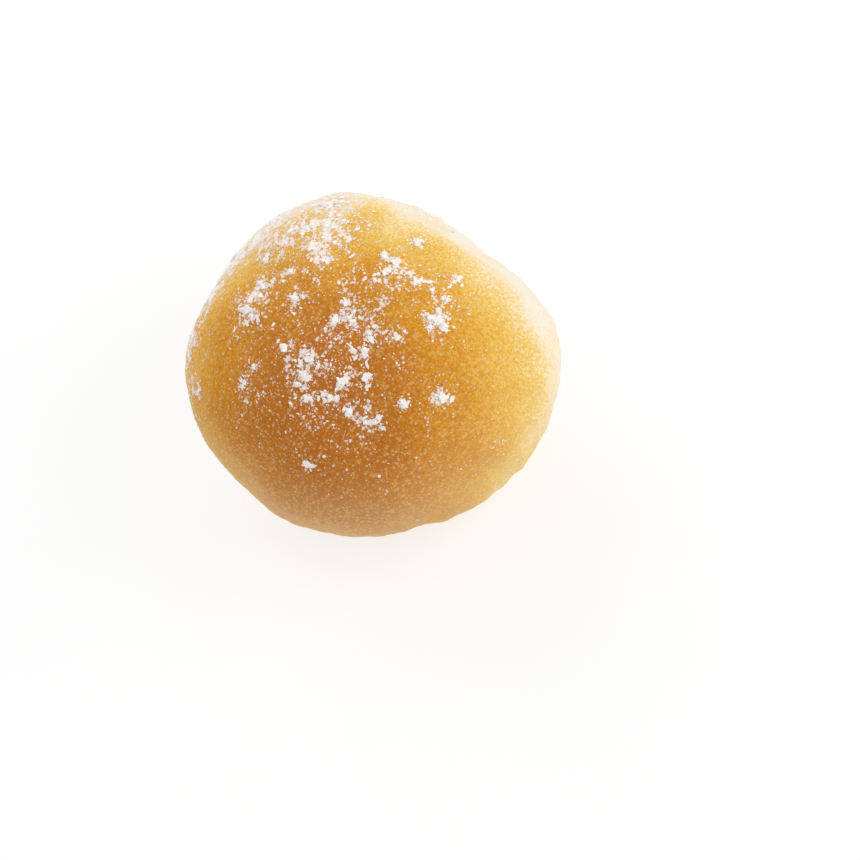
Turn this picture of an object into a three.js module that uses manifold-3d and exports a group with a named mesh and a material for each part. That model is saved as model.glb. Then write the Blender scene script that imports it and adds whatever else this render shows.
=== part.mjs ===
// A soft white bread roll in millimetres: a browned domed cap, a pale rippled skirt, a flat base,
// and lumps of flour clinging to its top. +Z is up and the origin is the middle of the flat base.
// Places on the roll are given by azimuth and latitude in degrees, seen from the middle of the belly,
// the widest level. Azimuth 0 is +X and azimuth -90 is the near side, -Y.
import * as THREE from 'three';
import { mergeVertices } from 'three/addons/utils/BufferGeometryUtils.js';
import Module from 'manifold-3d';

const wasm = await Module();
wasm.setup();

const roll = {
  radius: 45.3, // mean radius of the belly, seen from above
  height: 57.5,
  bellyHeight: 23,
  footDrop: 28, // how deep the underside would reach below the belly if the base didn't cut it
  domePower: 2.2, // 2 makes an ellipse, more makes the shoulders fuller
  footPower: 2.5,
  baseEdge: 1.5, // the height over which the side turns into the flat base
  flatUnder: 0.1, // heights under this lie flat, so that the roll rests on one clean face
  detail: 18, // divisions of each edge of the icosahedron that the skin starts from
};

// The plan isn't round: [bulges round the belly, size in mm, azimuth of one of them]
const lobes = [
  [2, 1.25, -31],
  [3, 0.66, 39],
  [4, 0.59, -44],
  [5, 0.2, 10],
];
const pressedSide = { azimuth: 11.5, depth: 7.5, spread: 41 }; // the side that baked flatter

// Broad, hardly visible swells over the whole skin: the first wave count and what each next one adds
const swell = { waves: 7, size: 0.17, firstCount: 6, countStep: 1.7 };

// Ripples of the skirt: [ripples round the belly, size in mm, lean: azimuth gained per unit of latitude]
const ripples = [
  [13, 0.12, 0.27],
  [23, 0.14, -0.22],
  [31, 0.12, 0.26],
];
const rippleBand = {
  latitude: -14,
  spread: 19,
  strongAt: -85, // azimuth where the ripples are strongest, as they are opposite it
  least: 0.3, // their share in between
};

// Shallow hollows of the skin: [azimuth, latitude, radius in mm, depth in mm], less than 0 is a bump
const hollows = [
  [-8, 14, 11, 1.4],
  [22, 16, 11, 0.5],
  [35, 15, 6, 0.5],
  [55, 21, 7, -0.8],
  [60, 4, 9, 0.7],
  [105, 30, 13, 0.6],
  [140, 4, 10, 0.8],
  [145, 22, 12, -0.3],
  [175, 10, 13, 1.4],
  [172, 45, 14, 0.5],
  [-165, -7, 8, -0.9],
  [-145, -15, 8, 0.4],
  [-140, -8, 9, 0.7],
  [-118, -10, 10, 0.5],
  [-95, -14, 10, -1.5],
  [-85, -24, 8, -0.7],
  [-60, 34, 15, 0.5],
  [-35, -14, 8, -1],
  [0, 0, 6, 0.2],
  [14, 7, 7, -0.3],
];

// Creases: [from azimuth, from latitude, to azimuth, to latitude, depth in mm, half width in mm]
const creases = [
  [-3, 56, -38, 40, 0.25, 1.6],
  [8, 45, -9, 52, 0.3, 1.5],
  [9, 1, 11, 24, 0.4, 1.9],
  [20, 3, 21, 27, 0.4, 1.9],
  [34, 6, 36, 27, 0.4, 1.9],
  [28, -4, 46, -24, 1, 1.7],
  [60, -6, 122, -10, 1.3, 1.8],
  [84, -16, 112, -22, 0.9, 1.6],
  [118, -12, 150, -6, 1.1, 1.7],
  [134, -14, 141, -28, 0.9, 1.6],
  [150, -16, 196, -12, 1.1, 1.8],
  [176, -22, 204, -18, 0.8, 1.6],
  [-150, -19, -118, -14, 0.6, 1.6],
  [-58, -22, -88, -18, 0.6, 1.6],
  [-22, -8, 8, -13, 0.7, 1.6],
];
const crease = {
  lip: 0.4, // height of the raised lips beside a crease, as a share of its depth
  lipReach: 2.1, // distance of the lips, in half widths
  wander: 1.3, // how far a crease swings to each side, in mm
  swings: 3.5,
};

// Flour: [azimuth, latitude, spread of the cluster in mm, lumps, width of the largest in mm]
const flour = [
  [54, 37, 6, 5, 3.6],
  [65, 49, 3.5, 3, 2.8],
  [54, 50, 3, 2, 2.4],
  [63, 60, 2, 2, 3],
  [44, 48, 2.5, 1, 2],
  [94, 50, 2.2, 2, 2.8],
  [54, 68, 1.8, 2, 2.8],
  [88, 65, 1.5, 1, 2],
  [110, 58, 3.5, 3, 2.6],
  [128, 56, 3.5, 4, 3],
  [112, 75, 2, 2, 2.6],
  [5, 58, 1.5, 2, 2.8],
  [-6, 57, 1.8, 2, 3.2],
  [-8, 62, 1.8, 2, 3.2],
  [1, 44, 1.6, 2, 3.2],
  [-12, 68, 2, 1, 2],
  [-25, 53, 3.5, 3, 1.8],
  [-38, 45, 2, 1, 1.8],
  [-28, 40, 2, 2, 2],
  [-50, 48, 3.2, 5, 4.2],
  [-25, 82, 2.5, 1, 2],
  [-70, 78, 2.5, 2, 2.2],
  [-98, 84, 1.5, 2, 3],
  [-67, 60, 1.2, 1, 2.8],
  [-78, 68, 2.5, 2, 2.6],
  [173, 68, 1.2, 1, 3.2],
  [-154, 70, 1.5, 2, 3],
  [-94, 66, 1.5, 2, 3.4],
  [-101, 70, 2, 1, 2.2],
  [-156, 64, 4, 4, 3.4],
  [-148, 56, 2, 2, 2.6],
  [-122, 61, 2, 2, 4],
  [-105, 58, 1.8, 2, 2.8],
  [-132, 56, 3, 3, 2.4],
  [-122, 50, 1.2, 1, 3],
  [-112, 44, 3, 4, 2.6],
  [-96, 44, 1, 1, 3.2],
  [-82, 36, 2, 2, 2.8],
  [-146, 34, 1.8, 2, 2.8],
  [167, 54, 2, 1, 2],
  [169, 48, 2, 2, 2],
  [101, 24, 5, 2, 2.4],
  [140, 26, 4, 1, 2.2],
];
const lump = {
  breadth: 0.8, // as shares of its length
  thickness: 0.5,
  rise: 0.08, // how far its middle stands over the skin
  unevenness: 0.16,
  shrink: 0.55, // how much smaller a cluster's last lump is than its first
};

const goldenAngle = Math.PI * (3 - Math.sqrt(5));
const rad = THREE.MathUtils.degToRad;

// The unit vector from the middle of the belly towards an azimuth and a latitude in degrees
function direction(azimuth, latitude) {
  const level = Math.cos(rad(latitude));
  return new THREE.Vector3(
    level * Math.cos(rad(azimuth)),
    level * Math.sin(rad(azimuth)),
    Math.sin(rad(latitude)),
  );
}

function bell(x, spread) {
  return Math.exp(-((x / spread) ** 2));
}

// The belly's radius at an azimuth in radians
function planRadius(azimuth) {
  let radius = roll.radius;
  for (const [count, size, at] of lobes) radius += size * Math.cos(count * (azimuth - rad(at)));
  const turn = azimuth - rad(pressedSide.azimuth);
  const off = Math.atan2(Math.sin(turn), Math.cos(turn));
  return radius - pressedSide.depth * bell(off, rad(pressedSide.spread));
}

// Sine waves along directions spread over the sphere by the golden angle, each finer than the last
function swells(d) {
  let sum = 0;
  for (let i = 0; i < swell.waves; i++) {
    const z = 1 - (2 * i + 1) / swell.waves;
    const level = Math.sqrt(1 - z * z);
    const along = d.x * level * Math.cos(i * goldenAngle) + d.y * level * Math.sin(i * goldenAngle) + d.z * z;
    sum += swell.size * Math.sin((swell.firstCount + swell.countStep * i) * along + 2 * i);
  }
  return sum;
}

// Upright ripples that fade above and below the lower skirt and are strongest on two opposite sides
function rippled(azimuth, latitude) {
  let sum = 0;
  for (const [count, size, lean] of ripples) {
    sum += size * Math.cos(count * (azimuth + lean * latitude));
  }
  const degrees = THREE.MathUtils.radToDeg(latitude);
  const wave = (1 + Math.cos(2 * (azimuth - rad(rippleBand.strongAt)))) / 2;
  const share = rippleBand.least + (1 - rippleBand.least) * wave;
  return sum * share * bell(degrees - rippleBand.latitude, rippleBand.spread);
}

// Arc length between two directions at the mean radius
function reach(a, b) {
  return a.angleTo(b) * roll.radius;
}

const hollowPlaces = hollows.map(([azimuth, latitude, radius, depth]) => {
  return { at: direction(azimuth, latitude), radius, depth };
});

const creaseLines = creases.map(([fromAzimuth, fromLatitude, toAzimuth, toLatitude, depth, width]) => {
  const from = direction(fromAzimuth, fromLatitude);
  const along = direction(toAzimuth, toLatitude).sub(from);
  const across = new THREE.Vector3().crossVectors(from, along).normalize();
  return { from, along, across, depth, width };
});

// A groove that swings about the arc between two places, fades at its ends and has raised lips
function creased(d, { from, along, across, depth, width }) {
  const t = THREE.MathUtils.clamp(d.clone().sub(from).dot(along) / along.lengthSq(), 0, 1);
  const swing = (crease.wander / roll.radius) * Math.sin(crease.swings * Math.PI * t);
  const nearest = from.clone().addScaledVector(along, t).addScaledVector(across, swing).normalize();
  const away = reach(d, nearest);
  const lips = crease.lip * bell(away - crease.lipReach * width, width);
  return depth * Math.sqrt(Math.max(0, Math.sin(Math.PI * t))) * (lips - bell(away, width));
}

// The point of the skin in a direction: a superellipsoid dome and foot with relief, cut by the base
function skin(d) {
  const azimuth = Math.atan2(d.y, d.x);
  const level = Math.hypot(d.x, d.y);
  const latitude = Math.atan2(d.z, level);
  const power = d.z >= 0 ? roll.domePower : roll.footPower;
  const rise = d.z >= 0 ? roll.height - roll.bellyHeight : roll.footDrop;
  const sum = (level / planRadius(azimuth)) ** power + (Math.abs(d.z) / rise) ** power;
  let distance = sum ** (-1 / power) + swells(d) + rippled(azimuth, latitude);
  for (const { at, radius, depth } of hollowPlaces) distance -= depth * bell(reach(d, at), radius);
  for (const line of creaseLines) distance += creased(d, line);
  const point = d.clone().multiplyScalar(distance);
  point.z = overBase(point.z + roll.bellyHeight);
  return point;
}

// Heights below the base go flat, with a short parabola in between
function overBase(z) {
  if (z >= roll.baseEdge) return z;
  if (z <= -roll.baseEdge) return 0;
  const eased = (z + roll.baseEdge) ** 2 / (4 * roll.baseEdge);
  return eased < roll.flatUnder ? 0 : eased;
}

// The outward normal and two tangents of the skin in a direction, from close neighbours
function skinFrame(d) {
  const step = 0.02;
  const east = new THREE.Vector3(-d.y, d.x, 0).normalize();
  const north = new THREE.Vector3().crossVectors(d, east);
  const at = (side, amount) => skin(d.clone().addScaledVector(side, amount).normalize());
  const alongEast = at(east, step).sub(at(east, -step));
  const alongNorth = at(north, step).sub(at(north, -step));
  const normal = alongEast.clone().cross(alongNorth).normalize();
  const tangent = alongEast.normalize();
  return { east, north, normal, tangent, across: normal.clone().cross(tangent) };
}

// One uneven flat lump, lying on the skin and sunk a little into it
function flourLump(d, width, turn) {
  const geometry = new THREE.IcosahedronGeometry(width / 2, 0);
  const position = geometry.attributes.position;
  const point = new THREE.Vector3();
  for (let i = 0; i < position.count; i++) {
    point.fromBufferAttribute(position, i);
    const wave = Math.sin(3 * point.x + 5 * point.y + 7 * point.z + 11 * turn);
    point.multiplyScalar(1 + lump.unevenness * wave);
    point.multiply(new THREE.Vector3(1, lump.breadth, lump.thickness));
    position.setXYZ(i, point.x, point.y, point.z);
  }
  const { normal, tangent, across } = skinFrame(d);
  const place = new THREE.Matrix4().makeBasis(tangent, across, normal);
  place.multiply(new THREE.Matrix4().makeRotationZ(turn));
  place.setPosition(skin(d).addScaledVector(normal, lump.rise * width));
  return solid(geometry.applyMatrix4(place));
}

// A cluster's lumps wind outwards by the golden angle from the largest, which is in the middle
function flourCluster([azimuth, latitude, spread, lumps, width]) {
  const middle = direction(azimuth, latitude);
  const { east, north } = skinFrame(middle);
  const solids = [];
  for (let i = 0; i < lumps; i++) {
    const turn = i * goldenAngle + rad(azimuth);
    const away = (spread * Math.sqrt(i / lumps)) / roll.radius;
    const d = middle.clone();
    d.addScaledVector(east, away * Math.cos(turn)).addScaledVector(north, away * Math.sin(turn));
    solids.push(flourLump(d.normalize(), width * (1 - (lump.shrink * i) / lumps), turn));
  }
  return solids;
}

// A closed three.js geometry as a solid that can be joined
function solid(geometry) {
  const bare = geometry.clone();
  bare.deleteAttribute('normal');
  bare.deleteAttribute('uv');
  const welded = mergeVertices(bare, 1e-4);
  return new wasm.Manifold(new wasm.Mesh({
    numProp: 3,
    vertProperties: new Float32Array(welded.attributes.position.array),
    triVerts: new Uint32Array(welded.index.array),
  }));
}

function skinGeometry() {
  const geometry = new THREE.IcosahedronGeometry(1, roll.detail);
  const position = geometry.attributes.position;
  const d = new THREE.Vector3();
  for (let i = 0; i < position.count; i++) {
    const point = skin(d.fromBufferAttribute(position, i).normalize());
    position.setXYZ(i, point.x, point.y, point.z);
  }
  return geometry;
}

// The joined solid as a geometry, with the middle of its box over the origin
function centredGeometry(joined) {
  const { vertProperties, triVerts } = joined.getMesh();
  const geometry = new THREE.BufferGeometry();
  geometry.setAttribute('position', new THREE.BufferAttribute(new Float32Array(vertProperties), 3));
  geometry.setIndex(new THREE.BufferAttribute(new Uint32Array(triVerts), 1));
  geometry.computeBoundingBox();
  const middle = geometry.boundingBox.getCenter(new THREE.Vector3());
  geometry.translate(-middle.x, -middle.y, 0);
  geometry.computeVertexNormals();
  return geometry;
}

let joined = solid(skinGeometry());
for (const cluster of flour) {
  for (const one of flourCluster(cluster)) joined = joined.add(one);
}

const crust = new THREE.MeshStandardMaterial({ color: 0xc98a3c, roughness: 0.6, metalness: 0 });
const breadRoll = new THREE.Mesh(centredGeometry(joined), crust);
breadRoll.name = 'bread_roll';

const group = new THREE.Group();
group.add(breadRoll);

export default group;
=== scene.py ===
import math

import bpy
import numpy as np
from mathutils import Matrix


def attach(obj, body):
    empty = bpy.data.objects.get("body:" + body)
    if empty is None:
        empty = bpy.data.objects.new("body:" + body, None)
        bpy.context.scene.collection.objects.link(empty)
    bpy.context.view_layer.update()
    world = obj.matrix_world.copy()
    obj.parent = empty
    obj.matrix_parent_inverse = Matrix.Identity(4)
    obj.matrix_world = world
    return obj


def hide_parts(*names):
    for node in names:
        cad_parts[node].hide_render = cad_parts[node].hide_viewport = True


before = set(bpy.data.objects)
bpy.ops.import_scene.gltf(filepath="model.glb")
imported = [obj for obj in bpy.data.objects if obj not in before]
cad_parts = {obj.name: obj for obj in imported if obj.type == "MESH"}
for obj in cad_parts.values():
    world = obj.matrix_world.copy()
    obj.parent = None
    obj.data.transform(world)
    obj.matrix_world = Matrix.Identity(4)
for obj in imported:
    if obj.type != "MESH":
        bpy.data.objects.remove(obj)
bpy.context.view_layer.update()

metre = 0.001  # metres in a millimetre
goldenAngle = math.pi * (3 - math.sqrt(5))
print("frame loaded")


# Places, waves and other sums that the shapes share

def direction(azimuth, latitude):
    # Unit vectors towards azimuths and latitudes in degrees
    a, l = np.radians(azimuth), np.radians(latitude)
    return np.stack(np.broadcast_arrays(np.cos(l) * np.cos(a), np.cos(l) * np.sin(a), np.sin(l)), -1)


def bell(x, spread):
    return np.exp(-(x / spread) ** 2)


def step(x, low, high):
    # A smooth step from 0 at low to 1 at high: 3t^2 - 2t^3
    t = np.clip((x - low) / (high - low), 0, 1)
    return t * t * (3 - 2 * t)


def unit(v):
    return v / np.linalg.norm(v, axis=-1, keepdims=True)


roughWaves = {"count": 18, "least": 0.75, "most": 1.3}  # frequencies, as shares of the size's own


def rough(points, size, seed):
    # Natural unevenness about 0 with a spread of 1: the sum of sine waves of about one length, size in
    # mm, along random directions
    count = roughWaves["count"]
    draw = np.random.default_rng(seed)
    along = unit(draw.normal(size=(count, 3))) * 2 * math.pi / size
    along = along * draw.uniform(roughWaves["least"], roughWaves["most"], (count, 1))
    turn = draw.uniform(0, 2 * math.pi, count)
    return np.sin(points @ along.T + turn).sum(-1) / math.sqrt(count / 2)


# The skin of the roll

rollShape = {
    "radius": 45.3,  # mean radius of the belly, seen from above
    "height": 57.5,
    "bellyHeight": 23,
    "footDrop": 28,  # how deep the underside would reach below the belly if the base didn't cut it
    "domePower": 2.2,  # 2 makes an ellipse, more makes the shoulders fuller
    "footPower": 2.5,
    "baseEdge": 1.5,  # the height over which the side turns into the flat base
    "flatUnder": 0.1,  # heights under this lie flat
    # bulges round the belly, size, azimuth of one of them
    "lobes": [(2, 1.25, -31), (3, 0.66, 39), (4, 0.59, -44), (5, 0.2, 10)],
    "pressed": {"azimuth": 11.5, "depth": 7.5, "spread": 41},  # the side that baked flatter
    "swell": {"waves": 7, "size": 0.17, "firstCount": 6, "countStep": 1.7},
    # ripples round the belly, size, lean: azimuth gained per unit of latitude
    "ripples": [
        (13, 0.12, 0.27), (23, 0.14, -0.22), (31, 0.12, 0.26),
        # finer than the solid's
        (47, 0.05, -0.3), (71, 0.03, 0.35),
    ],
    "rippleBand": {"latitude": -14, "spread": 19, "strongAt": -85, "least": 0.3},
    # azimuth, latitude, radius, depth, which is less than 0 for a bump
    "hollows": [
        (-8, 14, 11, 1.4), (22, 16, 11, 0.5), (35, 15, 6, 0.5), (55, 21, 7, -0.8), (60, 4, 9, 0.7),
        (105, 30, 13, 0.6), (140, 4, 10, 0.8), (145, 22, 12, -0.3), (175, 10, 13, 1.4),
        (172, 45, 14, 0.5), (-165, -7, 8, -0.9), (-145, -15, 8, 0.4), (-140, -8, 9, 0.7),
        (-118, -10, 10, 0.5), (-95, -14, 10, -1.5), (-85, -24, 8, -0.7), (-60, 34, 15, 0.5),
        (-35, -14, 8, -1), (0, 0, 6, 0.2), (14, 7, 7, -0.3),
    ],
    # from azimuth and latitude, to azimuth and latitude, depth, half width
    "creases": [
        (-3, 56, -38, 40, 0.25, 1.6), (8, 45, -9, 52, 0.3, 1.5), (9, 1, 11, 24, 0.4, 1.9),
        (20, 3, 21, 27, 0.4, 1.9), (34, 6, 36, 27, 0.4, 1.9), (28, -4, 46, -24, 1, 1.7),
        (60, -6, 122, -10, 1.3, 1.8), (84, -16, 112, -22, 0.9, 1.6), (118, -12, 150, -6, 1.1, 1.7),
        (134, -14, 141, -28, 0.9, 1.6), (150, -16, 196, -12, 1.1, 1.8), (176, -22, 204, -18, 0.8, 1.6),
        (-150, -19, -118, -14, 0.6, 1.6), (-58, -22, -88, -18, 0.6, 1.6), (-22, -8, 8, -13, 0.7, 1.6),
        # not in the solid, less than 0 for a ridge
        (-3, -2, -3, 27, 0.3, 2), (3, -2, 4, 28, -0.3, 1.8), (13, 0, 14, 29, -0.15, 1.8),
        (28, 2, 29, 30, 0.3, 2.2),
    ],
    "crease": {"lip": 0.4, "lipReach": 2.1, "wander": 1.3, "swings": 3.5},
    # wave length, height and draw of the fine unevenness, which the solid has none of
    "peel": [(6.5, 0.05, 11), (3.1, 0.028, 12), (1.5, 0.016, 13)],
    "divisions": 128,  # of each edge of the cube that the skin's directions come from
}


def planRadius(azimuth):
    # Mean radius + lobes - the pressed side's bell
    pressed = rollShape["pressed"]
    radius = rollShape["radius"]
    for count, size, at in rollShape["lobes"]:
        radius = radius + size * np.cos(count * (azimuth - math.radians(at)))
    off = (azimuth - math.radians(pressed["azimuth"]) + math.pi) % (2 * math.pi) - math.pi
    return radius - pressed["depth"] * bell(off, math.radians(pressed["spread"]))


def reach(d, at):
    # Arc length in mm between directions at the mean radius
    return np.arccos(np.clip((d * at).sum(-1), -1, 1)) * rollShape["radius"]


def swells(d):
    # Sine waves along directions spread evenly over the ball, each of a higher count than the last
    swell = rollShape["swell"]
    total = 0
    for i in range(swell["waves"]):
        z = 1 - (2 * i + 1) / swell["waves"]
        level = math.sqrt(1 - z * z)
        along = d @ np.array([level * math.cos(i * goldenAngle), level * math.sin(i * goldenAngle), z])
        count = swell["firstCount"] + swell["countStep"] * i
        total = total + swell["size"] * np.sin(count * along + 2 * i)
    return total


def rippled(azimuth, latitude):
    # Waves round the belly that fade above and below the lower skirt and are strongest on two sides
    band = rollShape["rippleBand"]
    total = 0
    for count, size, lean in rollShape["ripples"]:
        total = total + size * np.cos(count * (azimuth + lean * latitude))
    share = (1 + np.cos(2 * (azimuth - math.radians(band["strongAt"])))) / 2
    share = band["least"] + (1 - band["least"]) * share
    return total * share * bell(np.degrees(latitude) - band["latitude"], band["spread"])


def creased(d, row):
    # A groove about a swinging arc between two places, fading at its ends, with raised lips
    fromAzimuth, fromLatitude, toAzimuth, toLatitude, depth, width = row
    crease = rollShape["crease"]
    start = direction(fromAzimuth, fromLatitude)
    along = direction(toAzimuth, toLatitude) - start
    across = unit(np.cross(start, along))
    t = np.clip((d - start) @ along / (along @ along), 0, 1)
    swing = crease["wander"] / rollShape["radius"] * np.sin(crease["swings"] * math.pi * t)
    away = reach(d, unit(start + t[..., None] * along + swing[..., None] * across))
    lips = crease["lip"] * bell(away - crease["lipReach"] * width, width)
    return depth * np.sqrt(np.clip(np.sin(math.pi * t), 0, 1)) * (lips - bell(away, width))


def skin(d):
    # A superellipsoid dome and foot about the belly's middle, with relief, cut flat by the base
    azimuth, level = np.arctan2(d[..., 1], d[..., 0]), np.hypot(d[..., 0], d[..., 1])
    latitude = np.arctan2(d[..., 2], level)
    above = d[..., 2] >= 0
    power = np.where(above, rollShape["domePower"], rollShape["footPower"])
    rise = np.where(above, rollShape["height"] - rollShape["bellyHeight"], rollShape["footDrop"])
    form = (level / planRadius(azimuth)) ** power + (np.abs(d[..., 2]) / rise) ** power
    distance = form ** (-1 / power) + swells(d) + rippled(azimuth, latitude)
    for at, lat, radius, depth in rollShape["hollows"]:
        distance = distance - depth * bell(reach(d, direction(at, lat)), radius)
    for row in rollShape["creases"]:
        distance = distance + creased(d, row)
    for size, height, seed in rollShape["peel"]:
        distance = distance + height * rough(d * rollShape["radius"], size, seed)
    points = d * distance[..., None]
    edge = rollShape["baseEdge"]
    z = points[..., 2] + rollShape["bellyHeight"]
    z = np.where(z >= edge, z, np.where(z <= -edge, 0, (z + edge) ** 2 / (4 * edge)))
    points[..., 2] = np.where(z < rollShape["flatUnder"], 0, z)
    return points


def skinFrame(d):
    # Two tangents and the outward normal, from close neighbours to the east and to the north
    reachOut = 0.012
    east = unit(np.stack([-d[..., 1], d[..., 0], 0 * d[..., 0]], -1))
    north = np.cross(d, east)
    alongEast = skin(unit(d + reachOut * east)) - skin(unit(d - reachOut * east))
    alongNorth = skin(unit(d + reachOut * north)) - skin(unit(d - reachOut * north))
    normal = unit(np.cross(alongEast, alongNorth))
    tangent = unit(alongEast)
    return tangent, np.cross(normal, tangent), normal


# Meshes

def ballGrid(divisions):
    # Six square grids on a cube's sides, evened out by the tangent and pushed out to the unit sphere,
    # welded along their edges. Returns directions and four-sided faces that point outwards
    t = np.tan(np.linspace(-1, 1, divisions + 1) * math.pi / 4)
    u, v = np.meshgrid(t, t, indexing="ij")
    sides = []
    for axis in range(3):
        for sign in (1, -1):
            side = np.zeros(u.shape + (3,))
            side[..., axis] = sign
            side[..., (axis + 1) % 3] = u * sign
            side[..., (axis + 2) % 3] = v
            sides.append(side.reshape(-1, 3))
    index = np.arange((divisions + 1) ** 2).reshape(divisions + 1, -1)
    quads = np.stack([index[:-1, :-1], index[1:, :-1], index[1:, 1:], index[:-1, 1:]], -1).reshape(-1, 4)
    quads = np.concatenate([quads + i * index.size for i in range(6)])
    points = unit(np.concatenate(sides))
    _, first, back = np.unique(np.round(points, 6), axis=0, return_index=True, return_inverse=True)
    return points[first], back.reshape(-1)[quads]


def meshPiece(name, points, quads, material, attributes=(), smooth=True):
    # Puts points in mm and four-sided faces into an object that rides on the body
    mesh = bpy.data.meshes.new(name)
    mesh.vertices.add(len(points))
    mesh.vertices.foreach_set("co", (points * metre).astype(np.float32).ravel())
    mesh.loops.add(quads.size)
    mesh.loops.foreach_set("vertex_index", quads.astype(np.int32).ravel())
    mesh.polygons.add(len(quads))
    mesh.polygons.foreach_set("loop_start", np.arange(0, quads.size, 4, dtype=np.int32))
    mesh.update(calc_edges=True)
    mesh.validate()
    mesh.polygons.foreach_set("use_smooth", np.full(len(mesh.polygons), smooth))
    for key, values in attributes:
        mesh.attributes.new(key, "FLOAT", "POINT").data.foreach_set("value", values.astype(np.float32))
    mesh.materials.append(material)
    piece = bpy.data.objects.new(name, mesh)
    bpy.context.collection.objects.link(piece)
    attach(piece, "root")
    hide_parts("bread_roll")
    return piece


# Shader maths

def ink(red, green, blue):
    # A colour given as on a screen, 0 to 255, as the linear values that shaders take
    c = np.array([red, green, blue]) / 255
    linear = np.where(c <= 0.04045, c / 12.92, ((c + 0.055) / 1.055) ** 2.4)
    return (*linear.tolist(), 1.0)


class Value:
    # Wraps a node's output, so that arithmetic on it adds Math nodes
    def __init__(self, paint, socket):
        self.paint = paint
        self.socket = socket

    def sum(self, operation, left, right):
        return self.paint.add("ShaderNodeMath", {"operation": operation}, {0: left, 1: right})

    def __add__(self, other):
        return self.sum("ADD", self, other)

    def __sub__(self, other):
        return self.sum("SUBTRACT", self, other)

    def __rsub__(self, other):
        return self.sum("SUBTRACT", other, self)

    def __mul__(self, other):
        return self.sum("MULTIPLY", self, other)

    __radd__ = __add__
    __rmul__ = __mul__


class Paint:
    # A material and the calls that add nodes to it
    def __init__(self, name):
        self.material = bpy.data.materials.new(name)
        self.material.use_nodes = True
        self.tree = self.material.node_tree
        self.shader = self.tree.nodes["Principled BSDF"]

    def add(self, kind, settings, inputs, output=0):
        # Adds a node, sets what it is, then its sockets, each to a number, a colour or another's output
        node = self.tree.nodes.new(kind)
        for key, value in settings.items():
            if key == "stops":
                self.setStops(node.color_ramp, value)
            else:
                setattr(node, key, value)
        for key, value in inputs.items():
            self.feed(node.inputs[key], value)
        return Value(self, node.outputs[output])

    def feed(self, socket, value):
        if isinstance(value, Value):
            self.tree.links.new(value.socket, socket)
        else:
            socket.default_value = value

    def setStops(self, ramp, stops):
        while len(ramp.elements) < len(stops):
            ramp.elements.new(1)
        for element, (position, colour) in zip(ramp.elements, stops):
            element.position = position
            element.color = colour

    def place(self):
        return self.add("ShaderNodeTexCoord", {}, {}, "Object")

    def attribute(self, name):
        return self.add("ShaderNodeAttribute", {"attribute_name": name}, {}, "Fac")

    def noise(self, place, size, detail=2.0, roughness=0.5):
        # Values about 0.5, size in mm
        inputs = {"Vector": place, "Scale": 1 / (size * metre), "Detail": detail, "Roughness": roughness}
        return self.add("ShaderNodeTexNoise", {}, inputs, "Fac")

    def spots(self, place, size):
        # Distances to scattered points about size mm apart, from 0 to about 1, and a value of each's own
        inputs = {"Vector": place, "Scale": 1 / (size * metre)}
        near = self.add("ShaderNodeTexVoronoi", {}, inputs, "Distance")
        colour = self.add("ShaderNodeTexVoronoi", {}, inputs, "Color")
        return near, self.add("ShaderNodeSeparateColor", {}, {"Color": colour}, "Red")

    def step(self, value, low, high):
        settings = {"interpolation_type": "SMOOTHSTEP"}
        return self.add("ShaderNodeMapRange", settings, {0: value, 1: low, 2: high, 3: 0.0, 4: 1.0})

    def ramp(self, value, stops):
        return self.add("ShaderNodeValToRGB", {"stops": stops}, {"Fac": value})

    def mix(self, factor, first, second):
        return self.add("ShaderNodeMix", {"data_type": "RGBA"}, {0: factor, 6: first, 7: second}, 2)

    def finish(self, varying, fixed):
        # fixed holds the shader's constant sockets, varying what nodes feed
        for key, value in fixed.items():
            self.shader.inputs[key].default_value = value
        for key, value in varying.items():
            self.feed(self.shader.inputs[key], value)
        return self.material


# The crust's browning and powder, as values at its points

toasting = {
    "crown": (-142, 67),  # azimuth and latitude of the deepest brown
    "pale": 3,  # degrees up from the crown's own equator at which the brown starts, and is full
    "brown": 90,
    "lowSide": (-136, 0),  # the side that is brown far down, how much more, over how many degrees
    "lowSideAmount": 0.5,
    "lowSideReach": 59,
    "patches": 0.03,
    "patchSize": 17,
    "patchDraw": 21,
}


def toast(d):
    # A straight rise towards the crown, plus a bell round the low side, plus broad patches
    up = np.degrees(np.arcsin(np.clip(d @ direction(*toasting["crown"]), -1, 1)))
    value = np.clip((up - toasting["pale"]) / (toasting["brown"] - toasting["pale"]), 0, 1)
    away = np.degrees(np.arccos(np.clip(d @ direction(*toasting["lowSide"]), -1, 1)))
    value = value + toasting["lowSideAmount"] * bell(away, toasting["lowSideReach"])
    patches = rough(d * rollShape["radius"], toasting["patchSize"], toasting["patchDraw"])
    return np.clip(value + toasting["patches"] * patches, 0, 1)


filmShape = {
    "high": 39,  # latitudes between which the film of dust comes in
    "low": -5,
    "azimuth": -146,
    "amount": 0.29,
    "least": 0.04,
}


def film(d):
    # A pale film of flour dust low on the brown side: a smooth step down with latitude times the square
    # of a raised cosine of the azimuth, over a least amount
    latitude = np.degrees(np.arcsin(d[:, 2]))
    azimuth = np.arctan2(d[:, 1], d[:, 0])
    side = ((1 + np.cos(azimuth - math.radians(filmShape["azimuth"]))) / 2) ** 2
    low = step(latitude, filmShape["high"], filmShape["low"])
    return filmShape["least"] + filmShape["amount"] * side * low


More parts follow.
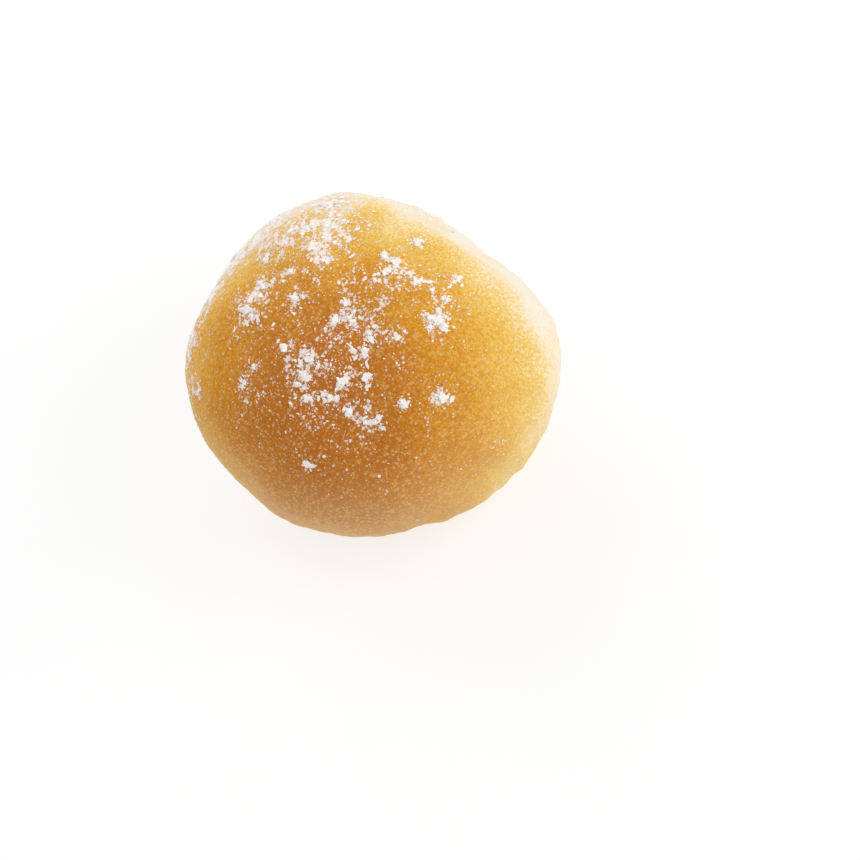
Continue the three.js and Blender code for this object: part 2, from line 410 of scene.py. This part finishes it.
# Flour: azimuth, latitude, spread of the cluster in mm, lumps, width of the largest in mm. Two rows are
# a little smaller than the solid's
flour = [
    (54, 37, 6, 5, 3.6), (65, 49, 3.5, 3, 2.8), (54, 50, 3, 2, 2.4), (63, 60, 2, 2, 3),
    (44, 48, 2.5, 1, 2), (94, 50, 2.2, 2, 2.8), (54, 68, 1.8, 2, 2.8), (88, 65, 1.5, 1, 2),
    (110, 58, 3.5, 3, 2.6), (128, 56, 3.5, 4, 3), (112, 75, 2, 2, 2.6), (5, 58, 1.5, 2, 2.8),
    (-6, 57, 1.8, 2, 3.2), (-8, 62, 1.8, 2, 3.2), (1, 44, 1.6, 2, 3.2), (-12, 68, 2, 1, 2),
    (-25, 53, 3.5, 3, 1.8), (-38, 45, 2, 1, 1.8), (-28, 40, 2, 2, 2), (-50, 48, 3.2, 5, 3.8),
    (-25, 82, 2.5, 1, 2), (-70, 78, 2.5, 2, 2), (-98, 84, 1.5, 2, 3), (-67, 60, 1.2, 1, 2.8),
    (-78, 68, 2.5, 2, 2.6), (173, 68, 1.2, 1, 3.2), (-154, 70, 1.5, 2, 3), (-94, 66, 1.5, 2, 3.4),
    (-101, 70, 2, 1, 2.2), (-156, 64, 4, 4, 3.4), (-148, 56, 2, 2, 2.6), (-122, 61, 2, 2, 4),
    (-105, 58, 1.8, 2, 2.8), (-132, 56, 3, 3, 2.4), (-122, 50, 1.2, 1, 3), (-112, 44, 3, 4, 2.6),
    (-96, 44, 1, 1, 3.2), (-82, 36, 2, 2, 2.8), (-146, 34, 1.8, 2, 2.8), (167, 54, 2, 1, 2),
    (169, 48, 2, 2, 2), (101, 24, 5, 2, 2.4), (140, 26, 4, 1, 2.2),
]

# Drifts of fine flour: azimuth, latitude, radius in mm, amount
drifts = [
    (54, 36, 4.5, 1), (58, 32, 5, 0.9), (66, 36, 4, 0.5), (42, 38, 4, 0.6), (72, 30, 5, 0.3),
    (66, 48, 3.5, 0.95), (51, 51, 5, 0.7), (57, 57, 5, 0.8), (62, 62, 3, 0.9), (78, 50, 5, 0.7),
    (42, 56, 4, 0.7), (59, 45, 6, 0.5), (79, 38, 5, 0.3), (86, 29, 5, 1), (95, 24, 6, 0.9),
    (87, 43, 5, 0.6), (103, 22, 4, 0.8), (113, 30, 5, 0.4), (121, 29, 4, 0.25), (86, 54, 4, 0.1),
    (94, 49, 2.5, 0.35), (98, 56, 3.5, 0.3), (88, 65, 2, 0.5), (102, 62, 3, 0.35), (110, 58, 4, 0.65),
    (120, 54, 4.5, 0.5), (130, 54, 4, 0.65), (135, 60, 3, 0.8), (124, 60, 3.5, 0.4), (106, 75, 3, 0.65),
    (55, 68, 2.5, 0.9), (44, 61, 3, 0.5), (27, 62, 8, 0.12), (3, 58, 2, 0.7), (-6, 56, 2.5, 0.9),
    (-8, 62, 2.2, 0.9), (-18, 58, 4.5, 0.5), (-21, 54, 2.5, 0.6), (-21, 64, 3, 0.6), (-8, 68, 2.5, 0.4),
    (1, 44, 2.5, 0.9), (-31, 50, 2, 0.75), (-36, 47, 2, 0.75), (-39, 44.5, 2, 0.7), (-28, 40, 2.2, 0.8),
    (-50, 48, 3.5, 0.65), (-46, 52, 3.5, 0.25), (-42, 41, 2.5, 0.6), (-58, 46, 2.5, 0.5),
    (-60, 60, 5, 0.05), (-30, 80, 3.5, 0.65), (-90, 84, 2.5, 0.5), (-72, 78, 3, 0.6), (-56, 82, 4, 0.2),
    (-144, 82, 2.5, 0.4), (-118, 78, 2.5, 0.5), (-56, 72, 4.5, 0.4), (-38, 68, 3, 0.45),
    (-78, 69, 3, 0.6), (-96, 68, 3.5, 0.5), (-70, 66, 3, 0.35), (-66, 60, 2.2, 0.4), (-82, 54, 2, 0.5),
    (173, 70, 2, 0.7), (-162, 72, 3, 0.5), (-153, 70, 2.2, 0.7), (-161, 64, 3.5, 0.45),
    (-174, 66, 2.5, 0.7), (-156, 62, 3, 0.35), (-140, 67, 3.5, 0.35), (-124, 72, 5, 0.3),
    (-139, 62, 3.5, 0.3), (-121, 62, 3, 0.35), (-110, 62, 3, 0.25), (-104, 58, 3, 0.3),
    (-125, 58, 5, 0.15), (-148, 56, 3.5, 0.5), (-158, 56, 4, 0.25), (-132, 54, 3, 0.4),
    (-142, 50, 3.5, 0.35), (-122, 50, 2.5, 0.45), (-114, 51, 3, 0.4), (-114, 46, 3.5, 0.35),
    (-117, 42, 3, 0.3), (-157, 48, 5, 0.2), (167, 54, 2.5, 0.35), (168, 48, 2.2, 0.55),
    (145, 49, 3, 0.25), (179, 44, 4.5, 0.35), (155, 28, 3, 0.7), (-146, 34, 2.2, 0.8),
    (-96, 44, 1.8, 0.9), (-82, 37, 2.8, 0.65), (-88, 38, 4, 0.25), (-129, 39, 9, 0.22),
    (-82, 8, 4.5, 0.35), (58, 25, 6, 0.5), (76, 24, 8, 0.9), (93, 27, 9, 1), (114, 21, 8, 0.95),
    (135, 21, 8, 0.95), (150, 12, 8, 0.5), (165, 4, 8, 0.35), (50, 14, 9, 0.4), (25, 12, 10, 0.3),
    (4, 74, 4, 0.45), (62, 74, 4, 0.4), (118, 75, 3.5, 0.5), (30, 46, 5, 0.35), (18, 24, 6, 0.35),
    (148, 26, 1.5, 0.9), (152, 24, 1.5, 0.9),
]

flourSpread = {
    "overall": 0.12,  # thin dusting from straight above, between these latitudes
    "from": 15,
    "to": 70,
    "thickAt": (95, 14),  # azimuth and latitude of the far shoulder, where it lies thick and smooth
    "thickReach": 26,
    # how strongly flour gathers in spots: wave length, share and draw of each row of waves
    "gather": [(3.6, 0.5, 61), (1.8, 0.4, 62)],
    "powderGathers": 0.3,  # how much more powder lies where flour gathers, and on the far shoulder
    "powderFar": 0.5,
    "powderMost": 1.7,
}


def flourAmount(d):
    # How much flour lies round a place, before it gathers in spots: the drifts' bells, joined so that
    # they don't pass 1, over a thin dusting
    latitude = np.degrees(np.arcsin(d[..., 2]))
    bare = 1 - flourSpread["overall"] * step(latitude, flourSpread["from"], flourSpread["to"])
    for azimuth, lat, radius, amount in drifts:
        bare = bare * (1 - amount * bell(reach(d, direction(azimuth, lat)), radius))
    return 1 - bare


def farShoulder(d):
    # Where the flour lies thick and smooth, a bell round a place
    place = direction(*flourSpread["thickAt"])
    return bell(reach(d, place), flourSpread["thickReach"])


def gathered(d):
    # How flour gathers in spots, above or below 0: the sum of rough waves of two lengths
    total = 0
    for size, share, seed in flourSpread["gather"]:
        total = total + share * rough(d * rollShape["radius"], size, seed)
    return total


# Materials

crustLook = {
    "stops": [
        (0.0, ink(236, 227, 213)),
        (0.12, ink(238, 214, 162)),
        (0.25, ink(232, 190, 82)),
        (0.5, ink(217, 148, 14)),
        (0.75, ink(199, 121, 6)),
        (1.0, ink(181, 99, 4)),
    ],
    "film": ink(226, 206, 170),
    "speck": ink(232, 196, 126),
    # painted shade: the dark colour of small pits, put on the crust as dots
    "pitShade": ink(140, 84, 36),
    # painted shade: a browner ring round the dust, standing in for its contact shadow
    "paintedShadeRim": ink(178, 98, 14),
    "thinPowder": ink(233, 215, 203),
    "powder": ink(250, 244, 240),
}


crustPaint = {
    # noises: size in mm, detail, roughness
    "mottle": (5.0, 3.0, 0.6),
    "grain": (0.6, 2.0, 0.7),
    "fine": (0.5, 2.0, 0.7),
    "broad": (2.6, 3.0, 0.6),
    # mm between spots
    "speckEvery": 0.7,
    "dustEvery": 0.8,
    "pitEvery": 4.0,
    # what shifts the browning, of which the grain shifts it more where it is brown
    "toneMottle": 0.14,
    "toneBrownGrain": 1.2,
    "toneGrain": 0.5,
    "tonePowder": 0.06,
    # the film's strength is the haze times the grain, scaled and lowered
    "filmGrain": 2.4,
    "filmLess": 0.2,
    # what a speck's level adds up, where its edge lies, over which browning it comes in, its most
    "speckOwn": 0.7,
    "speckGrain": 1.2,
    "speckHaze": 0.5,
    "speckEdge": (0.5, 1.1),
    "speckBrown": (-0.1, 0.4),
    "speckMost": 0.6,
    # what the dust's level adds up, and the levels between which its parts come in
    "dustOwn": 0.3,
    "dustFine": 0.8,
    "dustBroad": 1.3,
    "dustPowder": 0.66,
    "dustNear": 0.7,
    # levels between which the painted shade ring round the dust comes in, and its most
    "paintedShadeRimEdge": (1.1, 1.25),
    "paintedShadeRimMost": 0.6,
    "coverEdge": (1.25, 1.33),
    "coverMost": 0.92,
    "thickEdge": (1.27, 1.85),
    "pitSize": 0.05,
    "pitEdge": (0.0, 0.01),
    # the bump's height, as shares, and its strength and depth in mm
    "heightGrain": 0.4,
    "heightSpeck": 0.3,
    "heightCover": 0.5,
    "heightThick": 0.5,
    "bumpStrength": 0.4,
    "bumpDepth": 0.15,
    "bareRoughness": 0.55,
    "dustRoughness": 0.35,  # more where dust covers
}


def crustMaterial():
    # A ramp of the browning, shifted by mottling and grain. Over it come the film, pale specks where the
    # spots' level passes an edge, and dust where spots, two noises and the powder together pass another,
    # with a browner ring of painted shade, standing in for the dust's contact shadow, just below that
    # level. Last come a few dots painted dark as the shade in small pits
    paint = Paint("crust")
    p = crustPaint
    place = paint.place()
    haze = paint.attribute("film")
    powder = paint.attribute("powder")
    mottle = paint.noise(place, *p["mottle"])
    grain = paint.noise(place, *p["grain"])
    brown = paint.attribute("toast")
    grainShift = (grain - 0.5) * (brown * p["toneBrownGrain"] + p["toneGrain"])
    tone = brown + (mottle - 0.5) * p["toneMottle"] + grainShift + powder * p["tonePowder"]
    colour = paint.ramp(tone, crustLook["stops"])
    colour = paint.mix(haze * (grain * p["filmGrain"] - p["filmLess"]), colour, crustLook["film"])
    near, own = paint.spots(place, p["speckEvery"])
    level = own * p["speckOwn"] + grain * p["speckGrain"] + haze * p["speckHaze"] - near
    light = paint.step(level, *p["speckEdge"])
    share = light * paint.step(brown, *p["speckBrown"]) * p["speckMost"]
    colour = paint.mix(share, colour, crustLook["speck"])
    near, own = paint.spots(place, p["dustEvery"])
    fine = paint.noise(place, *p["fine"])
    broad = paint.noise(place, *p["broad"])
    level = own * p["dustOwn"] + fine * p["dustFine"] + broad * p["dustBroad"]
    level = level + powder * p["dustPowder"] - near * p["dustNear"]
    # painted shade: a browner ring just below the dust's level, as the dust's contact shadow, more where the
    # crust is brown
    paintedShadeRim = paint.step(level, *p["paintedShadeRimEdge"]) * brown * p["paintedShadeRimMost"]
    colour = paint.mix(paintedShadeRim, colour, crustLook["paintedShadeRim"])
    cover = paint.step(level, *p["coverEdge"])
    thick = paint.step(level, *p["thickEdge"])
    dust = paint.mix(thick, crustLook["thinPowder"], crustLook["powder"])
    colour = paint.mix(cover * p["coverMost"], colour, dust)
    # a few dots painted dark as the shade in small pits, with no hollow in the shape or the bump
    near, own = paint.spots(place, p["pitEvery"])
    colour = paint.mix(paint.step(own * p["pitSize"] - near, *p["pitEdge"]), colour, crustLook["pitShade"])
    height = grain * p["heightGrain"] + light * p["heightSpeck"]
    height = height + cover * p["heightCover"] + thick * p["heightThick"]
    inputs = {"Height": height, "Strength": p["bumpStrength"], "Distance": p["bumpDepth"] * metre}
    bump = paint.add("ShaderNodeBump", {}, inputs, "Normal")
    roughness = cover * p["dustRoughness"] + p["bareRoughness"]
    varying = {"Base Color": colour, "Roughness": roughness, "Normal": bump}
    fixed = {
        "Specular IOR Level": 0.08,
        "Sheen Weight": 0.04,
        "Sheen Roughness": 0.4,
        "Subsurface Weight": 0.1,
        "Subsurface Radius": (1.0, 0.55, 0.25),
        "Subsurface Scale": 1.0 * metre,
    }
    return paint.finish(varying, fixed)


flourLook = {
    "light": ink(252, 248, 244),
    "dark": ink(243, 233, 226),
    "tint": (1.2, 3.0, 0.6),  # noises: size in mm, detail, roughness
    "tintEdge": (0.35, 0.65),
    "grain": (0.4, 3.0, 0.7),
    "bumpStrength": 0.5,
    "bumpDepth": 0.12,
}


def flourMaterial():
    # Two near whites in turn by a noise, with a finer noise as bump
    paint = Paint("flour")
    place = paint.place()
    tint = paint.step(paint.noise(place, *flourLook["tint"]), *flourLook["tintEdge"])
    colour = paint.mix(tint, flourLook["light"], flourLook["dark"])
    grain = paint.noise(place, *flourLook["grain"])
    strength, depth = flourLook["bumpStrength"], flourLook["bumpDepth"]
    inputs = {"Height": grain, "Strength": strength, "Distance": depth * metre}
    bump = paint.add("ShaderNodeBump", {}, inputs, "Normal")
    fixed = {
        "Roughness": 0.95,
        "Specular IOR Level": 0.1,
    }
    return paint.finish({"Base Color": colour, "Normal": bump}, fixed)


crust = crustMaterial()
dryFlour = flourMaterial()

# The roll

directions, rollFaces = ballGrid(rollShape["divisions"])
rollPoints = skin(directions)
middle = (rollPoints.min(0) + rollPoints.max(0)) / 2 * (1, 1, 0)  # stands over the origin
powder = flourAmount(directions) * (1 + flourSpread["powderGathers"] * gathered(directions))
powder = powder * (1 + flourSpread["powderFar"] * farShoulder(directions))
powder = np.clip(powder, 0, flourSpread["powderMost"])
fields = [("toast", toast(directions)), ("film", film(directions)), ("powder", powder)]
roll = meshPiece("roll", rollPoints - middle, rollFaces, crust, fields)
print("roll made:", len(rollFaces) * 2, "triangles")


# Flour as real lumps, flakes, crumbs and grains

chipping = {
    "facing": 0.2,  # a plane doesn't cut points that face it less than this
    "uncut": 2,
    "most": 1.15,  # the largest radius
    "apart": 50,  # how far apart in the waves the chips may lie, so that no two are alike
    "longWave": 1.3,
    "shortWave": 0.6,
    "shortShare": 0.8,
    "peak": 2,
}


def chipped(ball, count, cuts, depth, unevenness, draw, seed):
    # Radii of rough chips: the unit ball cut by random planes at 1 - depth to 1, times unevenness in
    # long and short waves
    normals = unit(draw.normal(size=(count, cuts, 3)))
    heights = draw.uniform(1 - depth, 1, (count, cuts))
    facing = np.einsum("vi,nki->nvk", ball, normals)
    least = chipping["facing"]
    flat = np.where(facing > least, heights[:, None] / np.maximum(facing, least), chipping["uncut"]).min(-1)
    shifted = ball[None] + draw.uniform(0, chipping["apart"], (count, 1, 3))
    short = chipping["shortShare"] * rough(shifted, chipping["shortWave"], seed + 1)
    waves = np.clip(rough(shifted, chipping["longWave"], seed) + short, -chipping["peak"], chipping["peak"])
    return np.minimum(flat, chipping["most"]) * (1 + unevenness * waves)


def scatter(d, turns, lengths, breadth, thickness, rise, divisions, chips, seed):
    # One chip for each direction: a welded cube grid, scaled to its length, breadth and thickness, turned
    # about the skin's normal and set on the skin
    ball, quads = ballGrid(divisions)
    draw = np.random.default_rng(seed)
    count = len(d)
    radii = chipped(ball, count, chips["cuts"], chips["depth"], chips["unevenness"], draw, seed + 1)
    shape = ball[None] * radii[..., None] * lengths[:, None, None] / 2
    shape = shape * np.stack([np.ones(count), breadth, thickness], -1)[:, None]
    tangent, across, normal = skinFrame(d)
    cos, sin = np.cos(turns)[:, None], np.sin(turns)[:, None]
    first, second = tangent * cos + across * sin, across * cos - tangent * sin
    axes = np.stack([first, second, normal], 1)
    points = np.einsum("nvi,nij->nvj", shape, axes)
    points = points + (skin(d) + normal * (rise * lengths)[:, None])[:, None]
    faces = quads[None] + (np.arange(count) * len(ball))[:, None, None]
    return points.reshape(-1, 3), faces.reshape(-1, 4)


def aside(d, away, turn):
    # Directions moved by arc lengths in mm towards angles from the east
    east = unit(np.stack([-d[..., 1], d[..., 0], 0 * d[..., 0]], -1))
    north = np.cross(d, east)
    away = (away / rollShape["radius"])[..., None]
    return unit(d + away * (np.cos(turn)[..., None] * east + np.sin(turn)[..., None] * north))


lumps = {
    "shown": 0.75,  # width, as a share of what the table of flour says, which the solid has in full
    "breadth": 0.8,  # as shares of its length
    "thickness": 0.4,
    "rise": 0.05,  # how far its middle stands over the skin
    "shrink": 0.55,  # how much smaller a cluster's last lump is than its first
    "divisions": 11,
    "chips": {"cuts": 11, "depth": 0.5, "unevenness": 0.18},
    "seed": 31,
}


def lumpPlaces():
    # A cluster's lumps wind outwards by the golden angle from the largest, which is in the middle
    rows = []
    for azimuth, latitude, spread, count, width in flour:
        i = np.arange(count)
        turn = i * goldenAngle + math.radians(azimuth)
        start = np.broadcast_to(direction(azimuth, latitude), (count, 3))
        d = aside(start, spread * np.sqrt(i / count), turn)
        size = width * (1 - lumps["shrink"] * i / count)
        rows.append(np.column_stack([d, turn, size]))
    table = np.concatenate(rows)
    return table[:, :3], table[:, 3], table[:, 4]


lumpAt, lumpTurn, lumpSize = lumpPlaces()
points, faces = scatter(
    lumpAt, lumpTurn, lumpSize * lumps["shown"], np.full(len(lumpAt), lumps["breadth"]),
    np.full(len(lumpAt), lumps["thickness"]), lumps["rise"], lumps["divisions"], lumps["chips"],
    lumps["seed"]
)
flourLumps = meshPiece("flour_lumps", points - middle, faces, dryFlour)
print("flour lumps made:", len(faces) * 2, "triangles")

# Bits thrown evenly over the cap, of which the flour's amount keeps a share, and bits round each lump.
# Small and large are their lengths in mm, and a higher skew makes more of them small
flakes = {
    "thrown": 9000,
    "roundLumps": 4,
    "keep": 0.34,
    "small": 0.5,
    "large": 1.5,
    "skew": 2.2,
    "divisions": 2,
    "chips": {"cuts": 6, "depth": 0.6, "unevenness": 0.35},
    "seed": 71,
}
crumbs = {
    "thrown": 24000,
    "roundLumps": 9,
    "keep": 0.45,
    "small": 0.25,
    "large": 0.7,
    "skew": 2,
    "divisions": 2,
    "chips": {"cuts": 4, "depth": 0.55, "unevenness": 0.35},
    "seed": 41,
}
grains = {
    "thrown": 60000,
    "roundLumps": 14,
    "keep": 0.65,
    "small": 0.12,
    "large": 0.34,
    "skew": 1.6,
    "divisions": 1,
    "chips": {"cuts": 3, "depth": 0.5, "unevenness": 0.3},
    "seed": 51,
}
mostTriangles = 190000  # of one piece
strewing = {
    "lowest": 0.05,  # on the cap, as the sine of the latitude
    "ring": (0.45, 0.35),  # mean and spread of the distance from a lump's middle, in widths of it
    "farLess": 0.8,  # how many fewer lie on the far shoulder, as a share
    "gather": 1.5,
    "gatherMost": 2.2,
    "breadth": (0.4, 0.9),  # as shares of the length
    "thickness": (0.16, 0.3),
    "rise": 0.05,
}


def thrown(kind):
    # Directions, turns and sizes. Bits round a lump lie at a distance drawn from a bell and are all kept.
    # A bit thrown evenly over the cap stays where the flour's amount squared, less on the far shoulder
    # and more where flour gathers, times the kind's share, passes an even draw
    draw = np.random.default_rng(kind["seed"])
    height = draw.uniform(strewing["lowest"], 1, kind["thrown"])
    level = direction(draw.uniform(-180, 180, kind["thrown"]), np.degrees(np.arcsin(height)))
    near = np.repeat(lumpAt, kind["roundLumps"], axis=0)
    away = np.repeat(lumpSize, kind["roundLumps"]) * np.abs(draw.normal(*strewing["ring"], len(near)))
    around = aside(near, away, draw.uniform(0, 2 * math.pi, len(near)))
    amount = flourAmount(level) ** 2 * (1 - strewing["farLess"] * farShoulder(level))
    amount = amount * np.clip(1 + strewing["gather"] * gathered(level), 0, strewing["gatherMost"])
    level = level[amount * kind["keep"] > draw.uniform(0, 1, len(level))]
    d = np.concatenate([around, level])
    most = mostTriangles // (12 * kind["divisions"] ** 2)
    d = d[:most]
    size = kind["small"] + (kind["large"] - kind["small"]) * draw.uniform(0, 1, len(d)) ** kind["skew"]
    return d, draw.uniform(0, 2 * math.pi, len(d)), size


def strewPiece(name, kind):
    d, turn, size = thrown(kind)
    draw = np.random.default_rng(kind["seed"] + 2)
    breadth = draw.uniform(*strewing["breadth"], len(d))
    thickness = draw.uniform(*strewing["thickness"], len(d))
    points, faces = scatter(
        d, turn, size, breadth, thickness, strewing["rise"], kind["divisions"], kind["chips"],
        kind["seed"] + 3
    )
    piece = meshPiece(name, points - middle, faces, dryFlour, smooth=False)
    print(name, "made:", len(d), "bits,", len(faces) * 2, "triangles")


strewPiece("flour_flakes", flakes)
strewPiece("flour_crumbs", crumbs)
strewPiece("flour_grains", grains)


# Floor, light and camera

stage = {
    "floorRadius": 2.5,  # in m
    "floorSides": 64,
    "floorColours": (ink(160, 160, 160), ink(164, 164, 164)),
    "floorGrain": 40,  # in mm
    "floorGlow": 0.66,  # it gives off light, so that it shows nearly white
    "skyColour": (1.0, 1.0, 1.0, 1.0),
    "skyStrength": 0.68,
}


def makeFloor():
    # A flat disc: one ring of points round the middle
    turn = np.linspace(0, 2 * math.pi, stage["floorSides"], endpoint=False)
    ring = np.stack([np.cos(turn), np.sin(turn), 0 * turn], -1) * stage["floorRadius"]
    mesh = bpy.data.meshes.new("floor")
    mesh.from_pydata(ring.tolist(), [], [list(range(len(ring)))])
    paint = Paint("floor")
    grain = paint.noise(paint.place(), stage["floorGrain"])
    colour = paint.mix(grain, *stage["floorColours"])
    fixed = {
        "Roughness": 0.9,
        "Specular IOR Level": 0.1,
        "Emission Color": (1.0, 1.0, 1.0, 1.0),
        "Emission Strength": stage["floorGlow"],
    }
    mesh.materials.append(paint.finish({"Base Color": colour}, fixed))
    floor = bpy.data.objects.new("floor", mesh)
    bpy.context.collection.objects.link(floor)


lamps = [
    # name, azimuth, elevation, distance in m, side in m, power in W, colour
    ("window", -37, 30, 1.2, 0.9, 5.7, (1.0, 1.0, 1.0)),
    ("fill", 85, 28, 1.4, 1.2, 5.8, (1.0, 1.0, 1.0)),
]


def aimed(position, target, up):
    # Columns to the right, up and backwards of something that looks at the target
    back = unit(position - target)
    right = unit(np.cross(up, back))
    matrix = np.eye(4)
    matrix[:3, 0], matrix[:3, 1], matrix[:3, 2], matrix[:3, 3] = right, np.cross(back, right), back, position
    return matrix


def makeLamps():
    for name, azimuth, elevation, distance, side, power, colour in lamps:
        data = bpy.data.lights.new(name, "AREA")
        data.shape = "DISK"
        data.size = side
        data.energy = power
        data.color = colour
        lamp = bpy.data.objects.new(name, data)
        position = direction(azimuth, elevation) * distance
        lamp.matrix_world = aimed(position, np.zeros(3), np.array([0, 0, 1.0])).T.tolist()
        bpy.context.collection.objects.link(lamp)


view = {
    "elevation": 64,  # degrees above the horizon
    "lean": 45,  # degrees that the roll's upright leans to the left in the picture
    "distance": 0.7,  # in m
    "pixelsPerMm": 4.05,  # at that distance
    "picture": 860,  # pixels along each side
    "bellyShows": (374.5, 359.1),  # pixel where the middle of the belly shows
    "sensor": 36,  # in mm
}


def makeCamera():
    # Looks from the near side, rolled by the lean, at the point that the picture's middle shows
    e, lean = math.radians(view["elevation"]), math.radians(view["lean"])
    back = np.array([0, -math.cos(e), math.sin(e)])
    level, upright = np.array([1.0, 0, 0]), np.array([0, math.sin(e), math.cos(e)])
    right = math.cos(lean) * level - math.sin(lean) * upright
    up = math.sin(lean) * level + math.cos(lean) * upright
    belly = (np.array([0, 0, rollShape["bellyHeight"]]) - middle) * metre
    shift = (view["picture"] / 2 - np.array(view["bellyShows"])) / view["pixelsPerMm"] * metre
    target = belly + right * shift[0] - up * shift[1]
    data = bpy.data.cameras.new("camera")
    data.sensor_width = view["sensor"]
    data.lens = view["sensor"] * view["distance"] / metre * view["pixelsPerMm"] / view["picture"]
    camera = bpy.data.objects.new("camera", data)
    camera.matrix_world = aimed(target + back * view["distance"], target, up).T.tolist()
    bpy.context.collection.objects.link(camera)
    bpy.context.scene.camera = camera


def makeWorld():
    world = bpy.data.worlds.new("sky")
    world.use_nodes = True
    background = world.node_tree.nodes["Background"]
    background.inputs["Color"].default_value = stage["skyColour"]
    background.inputs["Strength"].default_value = stage["skyStrength"]
    bpy.context.scene.world = world
    bpy.context.scene.view_settings.view_transform = "Standard"


makeFloor()
makeLamps()
makeCamera()
makeWorld()
print("stage made")
